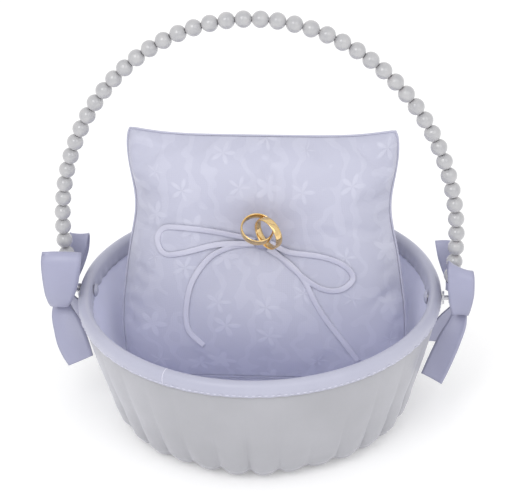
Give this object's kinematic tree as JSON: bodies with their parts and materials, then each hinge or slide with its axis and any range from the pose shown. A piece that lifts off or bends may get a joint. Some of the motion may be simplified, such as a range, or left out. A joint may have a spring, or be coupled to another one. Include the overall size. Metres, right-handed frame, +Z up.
{
  "type": "flower girl basket",
  "caption": "Round satin-covered bowl with a swinging pearl handle, a ribbon bow at each foot and a lift-out ring pillow tied with a bow and two gold rings.",
  "frame": {"origin": "middle of the bowl underside, on the surface it stands on", "axes": "+Z up, X along the handle hinge with +X to the right of someone facing the ring pillow, -Y towards them"},
  "size_m": [0.2192, 0.1878, 0.2203],
  "materials": {
    "satin": "satin",
    "ribbon": "satin",
    "brocade": "satin brocade",
    "filling": "matte",
    "tub": "matte",
    "pearl": "pearl gloss",
    "gold": "polished",
    "steel": "satin"
  },
  "bodies": {
    "basket": {"outer_cover": "satin", "base_disc": "satin", "tub_core": "tub", "inner_lining": "satin", "floor_pad": "satin", "rim_band": "satin", "rim_hoop": "steel", "pivot_stud_left": "steel", "pivot_stud_right": "steel", "pivot_washer_left": "steel", "pivot_washer_right": "steel"},
    "handle": {"handle_eye_left": "steel", "handle_eye_right": "steel", "handle_wire": "steel", "pearl_strand_left": "pearl", "pearl_strand_top": "pearl", "pearl_strand_right": "pearl", "bow_knot_left": "ribbon", "bow_knot_right": "ribbon", "bow_front_loop_left": "ribbon", "bow_front_loop_right": "ribbon", "bow_rear_loop_left": "ribbon", "bow_rear_loop_right": "ribbon", "bow_front_tail_left": "ribbon", "bow_front_tail_right": "ribbon", "bow_rear_tail_left": "ribbon", "bow_rear_tail_right": "ribbon"},
    "pillow": {"pillow_front": "brocade", "pillow_back": "brocade", "pillow_filling": "filling", "pillow_ribbon_loop_left": "ribbon", "pillow_ribbon_loop_right": "ribbon", "pillow_ribbon_tail_left": "ribbon", "pillow_ribbon_tail_right": "ribbon", "pillow_ribbon_knot": "ribbon", "ring_left": "gold", "ring_right": "gold"}
  },
  "joints": [
    {"name": "handle_swing", "type": "hinge", "parent": "basket", "child": "handle", "pos_m": [0, 0, 0.064], "axis": [1, 0, 0], "range_deg": [-88, 88]},
    {"name": "pillow_lift", "type": "slide", "parent": "basket", "child": "pillow", "axis": [0, 0.1994, 0.9799], "range_m": [0, 0.16]}
  ]
}
